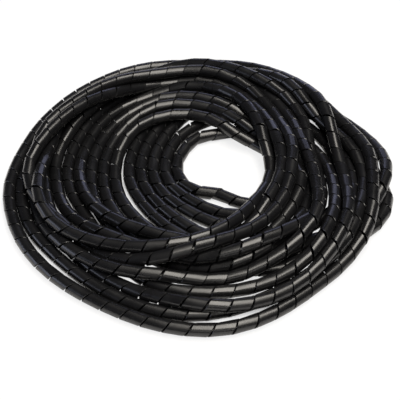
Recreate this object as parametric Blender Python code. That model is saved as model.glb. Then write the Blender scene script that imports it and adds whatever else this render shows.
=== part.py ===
"""Loose coil of black spiral cable wrap, modelled as one turned solid with its bore.

The wrap is one continuous strip, moulded as a helix about a round bore and wound by hand into
a flat coil. Its turns lie in nested layers: each turn of a layer rests in the groove between
two turns of the layer below. The section is worked out from the sizes here, then turned
round the upright axis.
"""

import math

import bmesh
import bpy

# Driving sizes in metres. The floor is z = 0, and the coil's axis is the Z axis.
WRAP_OD = 0.010
COIL_OD = 0.312
COIL_BORE = 0.068
TURN_GAP = 0.0047  # clear gap between neighbouring turns of one layer
LAYERS = 5

WRAP_SIDES = 8  # the wrap's round section is drawn as a regular octagon
TURNING_STEPS = 48

BLACK = (0.014, 0.014, 0.016, 1.0)
ROUGHNESS = 0.38


def clear_scene():
    for obj in list(bpy.data.objects):
        bpy.data.objects.remove(obj, do_unlink=True)


def black_plastic():
    """Black polyethylene with a soft gloss."""
    material = bpy.data.materials.new("black_plastic")
    material.use_nodes = True
    shader = material.node_tree.nodes["Principled BSDF"]
    shader.inputs["Base Color"].default_value = BLACK
    shader.inputs["Roughness"].default_value = ROUGHNESS
    shader.inputs["Metallic"].default_value = 0.0
    material.diffuse_color = BLACK
    return material


def coil_section():
    """(radius, height) points round the section, from the foot of the bore outwards."""
    radius = WRAP_OD / 2
    flat = WRAP_OD * math.tan(math.pi / WRAP_SIDES)  # one side of the octagon
    slant = (WRAP_OD - flat) / 2  # what a sloping side takes off the width and the height

    # The bottom layer fills the ring from the bore to the rim, so its turns spread evenly.
    first = COIL_BORE / 2 + radius
    last = COIL_OD / 2 - radius
    gaps = max(LAYERS, round((last - first) / (WRAP_OD + TURN_GAP)))
    spacing = (last - first) / gaps
    rise = math.sqrt(WRAP_OD**2 - (spacing / 2) ** 2)
    groove = (spacing - flat) / 2  # the sloping sides of two neighbours run on until they meet

    def centre(layer, turn):
        return first + spacing * (turn + layer / 2)

    points = []

    # Along the floor, outwards: a flat under each turn and a groove between two.
    for turn in range(gaps + 1):
        middle = centre(0, turn)
        points += [(middle - flat / 2, 0.0), (middle + flat / 2, 0.0)]
        if turn < gaps:
            points.append((middle + spacing / 2, groove))

    # Up the rim: the side, the slope and the shelf of each layer's last turn.
    for layer in range(LAYERS):
        edge = centre(layer, gaps - layer) + radius
        foot = slant if layer == 0 else WRAP_OD + rise * (layer - 1)
        top = WRAP_OD + rise * layer
        points += [(edge, foot), (edge, top - slant), (edge - slant, top)]

    # Along the top, inwards.
    top = WRAP_OD + rise * (LAYERS - 1)
    highest = LAYERS - 1
    for turn in reversed(range(gaps - highest + 1)):
        middle = centre(highest, turn)
        if turn < gaps - highest:
            points += [(middle + spacing / 2, top - groove), (middle + flat / 2, top)]
        if turn > 0:
            points.append((middle - flat / 2, top))

    # Down the bore, the mirror of the rim.
    for layer in reversed(range(LAYERS)):
        edge = centre(layer, 0) - radius
        foot = slant if layer == 0 else WRAP_OD + rise * (layer - 1)
        top = WRAP_OD + rise * layer
        points += [(edge + slant, top), (edge, top - slant), (edge, foot)]
    return points


def turned_coil():
    """One closed ring: the section spun round the Z axis, with its bore left open."""
    work = bmesh.new()
    corners = [work.verts.new((r, 0.0, z)) for r, z in coil_section()]
    edges = [work.edges.new((a, b)) for a, b in zip(corners, corners[1:] + corners[:1])]
    bmesh.ops.spin(
        work,
        geom=corners + edges,
        cent=(0, 0, 0),
        axis=(0, 0, 1),
        angle=math.tau,
        steps=TURNING_STEPS,
        use_merge=True,
    )
    bmesh.ops.recalc_face_normals(work, faces=work.faces)
    mesh = bpy.data.meshes.new("spiral_wrap_coil")
    work.to_mesh(mesh)
    work.free()
    mesh.shade_smooth()
    mesh.set_sharp_from_angle(angle=math.radians(30))
    coil = bpy.data.objects.new("spiral_wrap_coil", mesh)
    bpy.context.scene.collection.objects.link(coil)
    coil.data.materials.append(black_plastic())
    return coil


clear_scene()
turned_coil()
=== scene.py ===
import math

import bpy
import numpy as np
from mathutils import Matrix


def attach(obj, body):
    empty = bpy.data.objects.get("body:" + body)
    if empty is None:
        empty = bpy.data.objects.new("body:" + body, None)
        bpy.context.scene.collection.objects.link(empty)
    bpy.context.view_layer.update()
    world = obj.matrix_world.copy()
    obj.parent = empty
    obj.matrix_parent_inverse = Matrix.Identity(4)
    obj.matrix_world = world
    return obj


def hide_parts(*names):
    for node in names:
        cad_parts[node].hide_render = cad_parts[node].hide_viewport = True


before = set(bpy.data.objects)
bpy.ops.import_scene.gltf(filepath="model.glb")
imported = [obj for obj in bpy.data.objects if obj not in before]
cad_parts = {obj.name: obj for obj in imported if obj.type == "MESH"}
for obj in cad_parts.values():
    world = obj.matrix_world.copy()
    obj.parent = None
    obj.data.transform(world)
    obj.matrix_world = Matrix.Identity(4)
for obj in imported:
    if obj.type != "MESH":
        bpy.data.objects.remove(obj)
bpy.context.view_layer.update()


camera = {
    "elevation": 44.0,  # degrees above the floor
    "distance": 0.77,  # from the middle of the coil
    "lens": 84.7,
    "nearest": 0.05,
    "aimRight": 0.0002,  # the picture's middle, on the floor
    "aimFront": 0.0169,
}


def makeCamera():
    tilt = math.radians(camera["elevation"])
    data = bpy.data.cameras.new("camera")
    data.lens = camera["lens"]
    data.clip_start = camera["nearest"]
    eye = bpy.data.objects.new("camera", data)
    middle = np.array([wrap["middle"][0], wrap["middle"][1], 0.0])
    place = middle + camera["distance"] * np.array([0, -math.cos(tilt), math.sin(tilt)])
    aim = np.array([camera["aimRight"], -camera["aimFront"], 0.0])
    ahead = (aim - place) / np.linalg.norm(aim - place)
    pitch = math.asin(-ahead[2])
    turn = math.atan2(-ahead[0], ahead[1])
    eye.location = place
    eye.rotation_euler = (math.pi / 2 - pitch, 0, turn)
    bpy.context.scene.collection.objects.link(eye)
    bpy.context.scene.camera = eye


# The wrap is one strip wound as a left-hand helix.
wrap = {
    "outside": 0.0100,  # diameters
    "inside": 0.0078,
    "pitch": 0.0160,  # along the wrap, from slit to slit
    "slit": 0.0008,  # where the wrap lies straight
    "edge": 0.0003,  # the small bevel along the slit
    "lengthSold": 10.0,
    "stepsAround": 20,
    "sharpFrom": 28,  # degrees between faces, and smooth below
    "pathPoints": 2400,
    "middle": (-0.0055, -0.0030),  # moves the route onto the middle of the CAD coil
}

# Lengths in mm. The wrap runs clockwise from above, and 12 o'clock is at the back.
winding = {
    "pole": (22, 20),
    # from 4 to 11 o'clock, before the first turn: how far it lies from the pole
    "start": [70, 53, 36, 37, 42, 41, 37.5, 38],
    # each turn, the first laid first: the height it looks, and how far it lies from the pole
    # at 12 o'clock, 1, 2 and so on to 11
    "turns": [
        (6, [37.5, 44, 54, 62, 66, 61, 54, 50, 52, 50, 48, 50]),
        (12, [58, 75, 91, 104, 106, 91, 73, 59, 52, 48, 52, 66]),
        (8, [84, 92, 106, 122, 139, 119, 90, 71, 62, 60.5, 65, 77]),
        (8, [95, 106, 117, 136, 124, 116, 100, 84, 73, 71, 76, 86]),
        (12, [104, 106, 104, 106, 114, 122, 115, 99, 91, 84, 77, 65]),
        (15, [45, 36, 41, 54, 71, 88, 108, 111, 103, 94.5, 87.5, 77]),
        (18, [60, 48, 50, 62, 82, 106, 122, 121, 114, 105, 97.5, 87]),
        (14, [70, 57, 62, 84, 104, 127, 142, 140, 123, 126, 125, 119]),
        (8, [113, 106, 103, 112, 124, 136, 155, 161, 159, 156, 138.5, 132]),
        (6, [124, 122, 115, 120, 125, 142, 169, 170.5, 174.5, 163.5, 148.5, 145]),
        (14, [129, 122, 103, 98, 112, 136, 156, 154.5, 154, 147, 136, 128]),
        (22, [110, 100, 84, 78, 92, 101, 108, 119, 138, 139, 130, 119]),
        (20, [107, 92, 76, 70, 84, 110, 129, 147.5, 154, 146, 132, 117]),
        (25, [103, 78, 60, 58, 64, 80, 103, 137, 153, 146, 129, 108]),
        (24, [91, 65, 52, 51, 58, 74, 99, 106, 119, 115.5, 106, 93]),
        (30, [82, 56, 42, 40, 49, 67, 97, 130, 155, 147, 127]),
    ],
    "pointsPerHour": 10,
    "looksAt": 0.55,  # the part of its turn where it has the height that the table gives
}

settling = {
    "step": 3.5,  # mm between points of the line
    "lift": 4.5,  # each turn starts this much above the one before
    "floorGap": 0.8,  # the sag of the strip's square edges below its round outside
    "sightSlope": 1.03,  # mm back for each mm of height, as the camera sees it
    "sightShare": 0.8,
    "tuckFrom": 0.74,  # of the last turn, where the end dives under
    "tuckOver": 10,  # the number of turns that the end lies on
    "tuckAbove": 0.85,  # of a turn's lift, over the last of those
    "tuckFall": 60,  # how fast it dives, in lifts to a turn
    "roomRise": 4,  # how fast the next turn rises to leave room for it
    "lookEvery": 8,  # sweeps from one search for neighbours to the next
    "reachPast": 3,  # mm further than touching that counts as a neighbour
    "apart": 3,  # diameters along the line that are never neighbours
    "overPush": 1.8,  # each push goes this much further than it must
    # sweeps, fall in each, rounds of contact, pull back to the route
    "phases": [(200, 0.40, 2, 0.05), (240, 0.12, 3, 0.05), (90, 0.02, 4, 0.01)],
    "stiffness": (4, 2, 1),  # strides of the stiffening
}


def smoothThrough(knots, count):
    # The natural cubic through evenly spaced knots: one matrix gives its second differences,
    # and each stretch is (1-f) k0 + f k1 + ((1-f)^3 - (1-f)) m0 / 6 + (f^3 - f) m1 / 6.
    knots = np.asarray(knots, float)
    n = len(knots)
    bands = np.eye(n)
    inner = np.arange(1, n - 1)
    bands[inner, inner - 1], bands[inner, inner], bands[inner, inner + 1] = 1, 4, 1
    bends = np.zeros(n)
    bends[1:-1] = 6 * (knots[2:] - 2 * knots[1:-1] + knots[:-2])
    m = np.linalg.solve(bands, bends)
    t = np.linspace(0, n - 1, count)
    i = np.minimum(t.astype(int), n - 2)
    f = t - i
    return ((1 - f) * knots[i] + f * knots[i + 1]
            + ((1 - f) ** 3 - (1 - f)) * m[i] / 6 + (f**3 - f) * m[i + 1] / 6)


def evenly(points, step, columns):
    # The same line with its points an even step apart, measured over the first columns.
    lengths = np.linalg.norm(np.diff(points[:, :columns], axis=0), axis=1)
    along = np.concatenate([[0], np.cumsum(lengths)])
    at = np.linspace(0, along[-1], int(along[-1] / step) + 1)
    return np.stack([np.interp(at, along, column) for column in points.T], 1)


def laidRoute():
    # x, y in mm, the turn's number and the height it looks:
    # x, y = pole + r (cos, sin) of the hour's angle.
    start, turns, pole = winding["start"], winding["turns"], winding["pole"]
    radii = start + [r for _, row in turns for r in row]
    r = smoothThrough(radii, (len(radii) - 1) * winding["pointsPerHour"] + 1)
    hour = np.linspace(0, len(radii) - 1, len(r)) - len(start)
    angle = np.pi / 2 - hour * np.pi / 6
    heights = [look for look, _ in turns]
    looks = np.interp(hour / 12, np.arange(len(heights)) + winding["looksAt"], heights)
    x, y = pole[0] + r * np.cos(angle), pole[1] + r * np.sin(angle)
    return evenly(np.stack([x, y, hour / 12, looks], 1), settling["step"], 2)


def nearPairs(points, reach, gap):
    # Points nearer than the reach and further apart than the gap along the line, block by block.
    firsts, seconds = [], []
    flat = points[:, :2].astype(np.float32)
    block = 400
    for start in range(0, len(points), block):
        some, rest = flat[start : start + block], flat[start:]
        close = np.abs(some[:, None, 0] - rest[None, :, 0]) < reach
        close &= np.abs(some[:, None, 1] - rest[None, :, 1]) < reach
        i, j = np.nonzero(close)
        keep = j - i > gap
        firsts.append(i[keep] + start)
        seconds.append(j[keep] + start)
    i, j = np.concatenate(firsts), np.concatenate(seconds)
    keep = ((points[i] - points[j]) ** 2).sum(1) < reach**2
    return i[keep], j[keep]


def stiffened(values, stride):
    # One sixteenth of the fourth difference comes off: short kinks go, long curves stay.
    n, k = len(values), stride
    w = np.pad(values, ((2 * k, 2 * k), (0, 0)), mode="edge")
    fourth = (w[:n] - 4 * w[k : n + k] + 6 * w[2 * k : n + 2 * k]
              - 4 * w[3 * k : n + 3 * k] + w[4 * k :])
    return values - fourth / 16


def pushApart(points, i, j, across):
    # Each touching pair moves apart by half of its overlap, along the line between the two.
    between = points[i] - points[j]
    distance = np.linalg.norm(between, axis=1) + 1e-9
    overlap = np.maximum(across - distance, 0)
    touching = overlap > 0
    i, j = i[touching], j[touching]
    move = between[touching] * (0.5 * overlap[touching] / distance[touching])[:, None]
    n = len(points)
    shift = np.stack([np.bincount(i, part, n) - np.bincount(j, part, n) for part in move.T], 1)
    number = np.bincount(i, minlength=n) + np.bincount(j, minlength=n)
    points = points + shift / np.maximum(number, 1)[:, None] * settling["overPush"]
    points[:, 2] = np.maximum(points[:, 2], across / 2)
    return points, (overlap.max() if len(overlap) else 0)


def firstHeights(number, across):
    # Every turn lies one lift above the one before, but the last end lies among the lower turns,
    # and the turns over it are one lift higher.
    over = settling["tuckOver"]
    rank = number + np.clip((number - over) * settling["roomRise"], 0, 1)
    tuck = len(winding["turns"]) - 1 + settling["tuckFrom"]
    past = number > tuck
    dive = tuck + 1 - (number[past] - tuck) * settling["tuckFall"]
    rank[past] = np.maximum(dive, over + settling["tuckAbove"])
    return across / 2 + rank * settling["lift"]


def settledLine():
    # The turns start apart, each above the one before, and fall. In each sweep every point drops,
    # is drawn towards its route, is stiffened along the line and is pushed out of what it touches.
    route = laidRoute()
    across = wrap["outside"] * 1000
    home = route[:, :2].copy()
    points = np.concatenate([home, firstHeights(route[:, 2], across)[:, None]], 1)
    gap = int(settling["apart"] * across / settling["step"])
    slide = settling["sightShare"] * settling["sightSlope"]
    sweep = 0
    for phase, (sweeps, fall, rounds, pull) in enumerate(settling["phases"]):
        for _ in range(sweeps):
            if sweep % settling["lookEvery"] == 0:
                i, j = nearPairs(points, across + settling["reachPast"], gap)
                if phase > 0:
                    # a turn that lies lower than it looks moves back along the line of sight
                    height = points[:, 2:]
                    for _ in range(6):
                        height = stiffened(height, 8)
                    home[:, 1] = route[:, 1] + slide * (route[:, 3] - height[:, 0])
            sweep += 1
            points[:, 2] -= fall
            moved = points.copy()
            moved[:, :2] = (points[:, :2] - home) * (1 - pull)
            for stride in settling["stiffness"]:
                moved = stiffened(moved, stride)
            moved[:, :2] += home
            points = moved
            for _ in range(rounds):
                points, overlap = pushApart(points, i, j, across)
    top = points[:, 2].max() + across / 2
    print(f"turns settled: {sweep} sweeps, deepest overlap {overlap:.2f} mm, top {top:.1f} mm")
    points[:, :2] += np.array(wrap["middle"]) * 1000
    points[:, 2] += settling["floorGap"]
    return points / 1000


def sampled(line, along, at):
    return np.stack([np.interp(at, along, column) for column in line.T], 1)


def stripMesh(line):
    # P(s, v, r) = C(s) + v T(s) + r (cos a N(s) + sin a B(s)), a = -2 pi s / pitch: left hand.
    # C is the wrap's centreline, T its direction, N = Z x T level and B = T x N. v runs across
    # the strip and r through its wall, so the strip is straight across, and the slits open
    # round a bend.
    fine = np.stack([smoothThrough(column, (len(column) - 1) * 4 + 1) for column in line.T], 1)
    lengths = np.linalg.norm(np.diff(fine, axis=0), axis=1)
    along = np.concatenate([[0], np.cumsum(lengths)])
    width = wrap["pitch"] - wrap["slit"]
    ds = wrap["pitch"] / wrap["stepsAround"]
    first, last = width, along[-1] - width  # where the wrap's square cut ends are
    s = np.arange(first - width / 2 + ds / 4, last + width / 2 - ds / 4, ds)

    centre = sampled(fine, along, s)
    ahead = sampled(fine, along, s + ds) - sampled(fine, along, s - ds)
    ahead /= np.linalg.norm(ahead, axis=1)[:, None]
    level = np.cross([0, 0, 1], ahead)
    level /= np.linalg.norm(level, axis=1)[:, None]
    upward = np.cross(ahead, level)

    # The section, round the strip: the outer face with a bevel at each side, then the inner face.
    outer, inner, edge = wrap["outside"] / 2, wrap["inside"] / 2, wrap["edge"]
    low = np.maximum(-width / 2, first - s)
    high = np.minimum(width / 2, last - s)
    bevel = np.minimum(edge, (high - low) / 3)
    v = np.stack([low, low + bevel, high - bevel, high, high, low], 1)
    r = np.array([outer - edge, outer, outer, outer - edge, inner, inner])

    a = -2 * np.pi * s / wrap["pitch"]
    outward = np.cos(a)[:, None] * level + np.sin(a)[:, None] * upward
    across = v[:, :, None] * ahead[:, None]
    points = centre[:, None] + across + r[None, :, None] * outward[:, None]

    # Quads between neighbouring stations, and a cap at each end.
    stations, corners = len(s), len(r)
    i = np.arange(stations - 1)[:, None] * corners
    k = np.arange(corners)[None, :]
    after = (k + 1) % corners
    quads = np.stack([i + k, i + after, i + corners + after, i + corners + k], -1)
    firstCap = list(range(corners))[::-1]
    lastCap = list(range((stations - 1) * corners, stations * corners))
    faces = quads.reshape(-1, 4).tolist() + [firstCap, lastCap]

    mesh = bpy.data.meshes.new("spiral_wrap")
    mesh.from_pydata(points.reshape(-1, 3), [], faces)

    # Where each point lies on the unbent wrap: around it in x and y, and along it in z.
    place = np.zeros((stations, corners, 3), np.float32)
    place[:, :, 0] = r * np.cos(a)[:, None]
    place[:, :, 1] = r * np.sin(a)[:, None]
    place[:, :, 2] = s[:, None] + v
    straight = mesh.attributes.new("straightPlace", "FLOAT_VECTOR", "POINT")
    straight.data.foreach_set("vector", place.ravel())
    mesh.shade_smooth()
    mesh.set_sharp_from_angle(angle=math.radians(wrap["sharpFrom"]))
    mesh.validate()
    path = sampled(fine, along, np.linspace(first, last, wrap["pathPoints"]))
    return mesh, path


plastic = {
    "colour": (0.0040, 0.0040, 0.0045, 1.0),
    "paler": (0.010, 0.010, 0.011, 1.0),
    "refraction": 1.51,
    "shine": 0.23,  # roughness of the glossier patches
    "dull": 0.33,
    "patches": 60.0,  # to a metre
    "patchFrom": 0.30,  # the noise where the shine ends and where it is all dull
    "patchTo": 0.70,
    "grainAcross": 900.0,  # streaks to a metre round the wrap
    "grainAlong": 14.0,
    "grainDepth": 0.00006,
    "grainStrength": 0.6,
}


def addNode(tree, kind, **values):
    # A node with values on its sockets, where _ in a name stands for a space.
    node = tree.nodes.new("ShaderNode" + kind)
    for name, value in values.items():
        node.inputs[name.replace("_", " ")].default_value = value
    return node


def addLink(tree, source, output, target, name):
    tree.links.new(source.outputs[output], target.inputs[name])


def plasticMaterial():
    material = bpy.data.materials.new("blackPlastic")
    material.use_nodes = True
    tree = material.node_tree
    shader = tree.nodes["Principled BSDF"]
    shader.inputs["Metallic"].default_value = 0.0
    shader.inputs["IOR"].default_value = plastic["refraction"]

    # The die's streaks run along the wrap: noise on the unbent place, drawn out lengthwise.
    place = addNode(tree, "Attribute")
    place.attribute_name = "straightPlace"
    grain = (plastic["grainAcross"], plastic["grainAcross"], plastic["grainAlong"])
    stretch = addNode(tree, "Mapping", Scale=grain)
    streaks = addNode(tree, "TexNoise", Scale=1.0, Detail=4.0, Roughness=0.6)
    addLink(tree, place, "Vector", stretch, "Vector")
    addLink(tree, stretch, "Vector", streaks, "Vector")

    # Handling leaves wider dull patches.
    patches = addNode(tree, "TexNoise", Scale=plastic["patches"], Detail=3.0)
    addLink(tree, place, "Vector", patches, "Vector")
    gloss = addNode(tree, "MapRange", From_Min=plastic["patchFrom"], From_Max=plastic["patchTo"],
                    To_Min=plastic["shine"], To_Max=plastic["dull"])
    addLink(tree, patches, "Fac", gloss, "Value")
    addLink(tree, gloss, "Result", shader, "Roughness")

    # The colour is paler where streaks and patches meet.
    mask = addNode(tree, "Math")
    mask.operation = "MULTIPLY"
    addLink(tree, streaks, "Fac", mask, 0)
    addLink(tree, patches, "Fac", mask, 1)
    tone = addNode(tree, "Mix")
    tone.data_type = "RGBA"
    dark, pale = [socket for socket in tone.inputs if socket.type == "RGBA"]
    dark.default_value, pale.default_value = plastic["colour"], plastic["paler"]
    mixed = [socket for socket in tone.outputs if socket.type == "RGBA"][0]
    addLink(tree, mask, "Value", tone, "Factor")
    tree.links.new(mixed, shader.inputs["Base Color"])

    bump = addNode(tree, "Bump", Strength=plastic["grainStrength"], Distance=plastic["grainDepth"])
    addLink(tree, streaks, "Fac", bump, "Height")
    addLink(tree, bump, "Normal", shader, "Normal")
    return material


studio = {
    "floor": (0.89, 0.90, 0.93, 1.0),
    "floorRoughness": 0.9,
    "floorRadius": 0.75,  # beyond it the backdrop is as white as the lit floor
    "floorSides": 96,
    "floorPaintedLight": 0.80,  # painted light: how far the floor the camera sees is painted plain white, over its shading and cast shadows
    "paintedLightReach": 0.012,  # the painted light fades on floor that is walled in nearer than this, which keeps its shade
    "paintedLightFrom": 0.06,  # openness of the floor where the painted light starts and where it is full
    "paintedLightTo": 0.20,
    "around": (0.80, 0.84, 1.0, 1.0),
    "aroundStrength": 0.035,
    # name, place, width along x and the other way, watts, colour; each faces the coil
    "panels": [
        ("windowPanel", (0.24, -0.20, 1.27), 0.60, 1.60, 30.0, (1.0, 0.95, 0.87)),
        ("skyPanel", (0.17, 1.24, 0.36), 0.90, 0.30, 1.5, (0.66, 0.69, 1.0)),
        ("leftPanel", (-1.24, -0.20, 0.33), 0.50, 0.70, 3.0, (0.75, 0.80, 1.0)),
        ("frontPanel", (0.15, -1.17, 0.55), 0.80, 0.20, 1.2, (1.0, 0.97, 0.92)),
    ],
}


def floorPaint():
    paint = bpy.data.materials.new("floorPaint")
    paint.use_nodes = True
    tree = paint.node_tree
    shader = tree.nodes["Principled BSDF"]
    shader.inputs["Base Color"].default_value = studio["floor"]
    shader.inputs["Roughness"].default_value = studio["floorRoughness"]
    shader.inputs["Specular IOR Level"].default_value = 0.1

    # Painted light: open floor is painted white for the camera, covering its cast shadows, and
    # floor walled in by the wrap keeps its shade.
    openness = addNode(tree, "AmbientOcclusion", Distance=studio["paintedLightReach"])
    fade = addNode(tree, "MapRange", From_Min=studio["paintedLightFrom"], From_Max=studio["paintedLightTo"],
                   To_Max=studio["floorPaintedLight"])
    share = addNode(tree, "Math")
    share.operation = "MULTIPLY"
    seen = addNode(tree, "LightPath")
    # painted light: an emission that only the camera sees, not a lamp
    paintedLight = addNode(tree, "Emission")
    either = addNode(tree, "MixShader")
    addLink(tree, openness, "AO", fade, "Value")
    addLink(tree, seen, "Is Camera Ray", share, 0)
    addLink(tree, fade, "Result", share, 1)
    addLink(tree, share, "Value", either, "Fac")
    addLink(tree, shader, "BSDF", either, 1)
    addLink(tree, paintedLight, "Emission", either, 2)
    addLink(tree, either, "Shader", tree.nodes["Material Output"], "Surface")
    return paint


def makeFloor():
    # A disc: radius times (cos, sin) of even angles.
    angle = np.linspace(0, 2 * np.pi, studio["floorSides"], endpoint=False)
    rim = np.stack([np.cos(angle), np.sin(angle), 0 * angle], 1) * studio["floorRadius"]
    mesh = bpy.data.meshes.new("floor")
    mesh.from_pydata(rim, [], [list(range(len(rim)))])
    mesh.materials.append(floorPaint())
    floor = bpy.data.objects.new("floor", mesh)
    bpy.context.scene.collection.objects.link(floor)


def makeLights():
    for name, place, across, along, watts, colour in studio["panels"]:
        data = bpy.data.lights.new(name, "AREA")
        data.shape = "RECTANGLE"
        data.size, data.size_y = across, along
        data.energy = watts
        data.color = colour
        light = bpy.data.objects.new(name, data)
        light.location = place
        x, y, z = place
        light.rotation_euler = (-math.asin(y / math.hypot(x, y, z)), math.atan2(x, z), 0)
        bpy.context.scene.collection.objects.link(light)


def makeRoom():
    # The room is dim in the plastic's gloss and white behind the coil.
    world = bpy.data.worlds.new("studio")
    world.use_nodes = True
    tree = world.node_tree
    room = tree.nodes["Background"]
    room.inputs["Color"].default_value = studio["around"]
    room.inputs["Strength"].default_value = studio["aroundStrength"]
    backdrop = addNode(tree, "Background", Color=(1, 1, 1, 1))
    seen = addNode(tree, "LightPath")
    either = addNode(tree, "MixShader")
    addLink(tree, seen, "Is Camera Ray", either, "Fac")
    addLink(tree, room, "Background", either, 1)
    addLink(tree, backdrop, "Background", either, 2)
    addLink(tree, either, "Shader", tree.nodes["World Output"], "Surface")
    bpy.context.scene.world = world
    bpy.context.scene.view_settings.view_transform = "Standard"


makeCamera()
wrapLine = settledLine()
wrapMesh, wrapPath = stripMesh(wrapLine)
coil = bpy.data.objects.new("spiral_wrap", wrapMesh)
bpy.context.scene.collection.objects.link(coil)
coil.data.materials.append(plasticMaterial())
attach(coil, "root")
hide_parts("spiral_wrap_coil")
pathLength = np.linalg.norm(np.diff(wrapPath, axis=0), axis=1).sum()
print(f"wrap made: {len(wrapMesh.polygons)} faces, {pathLength:.2f} m long")

makeFloor()
makeLights()
makeRoom()
print("studio made")
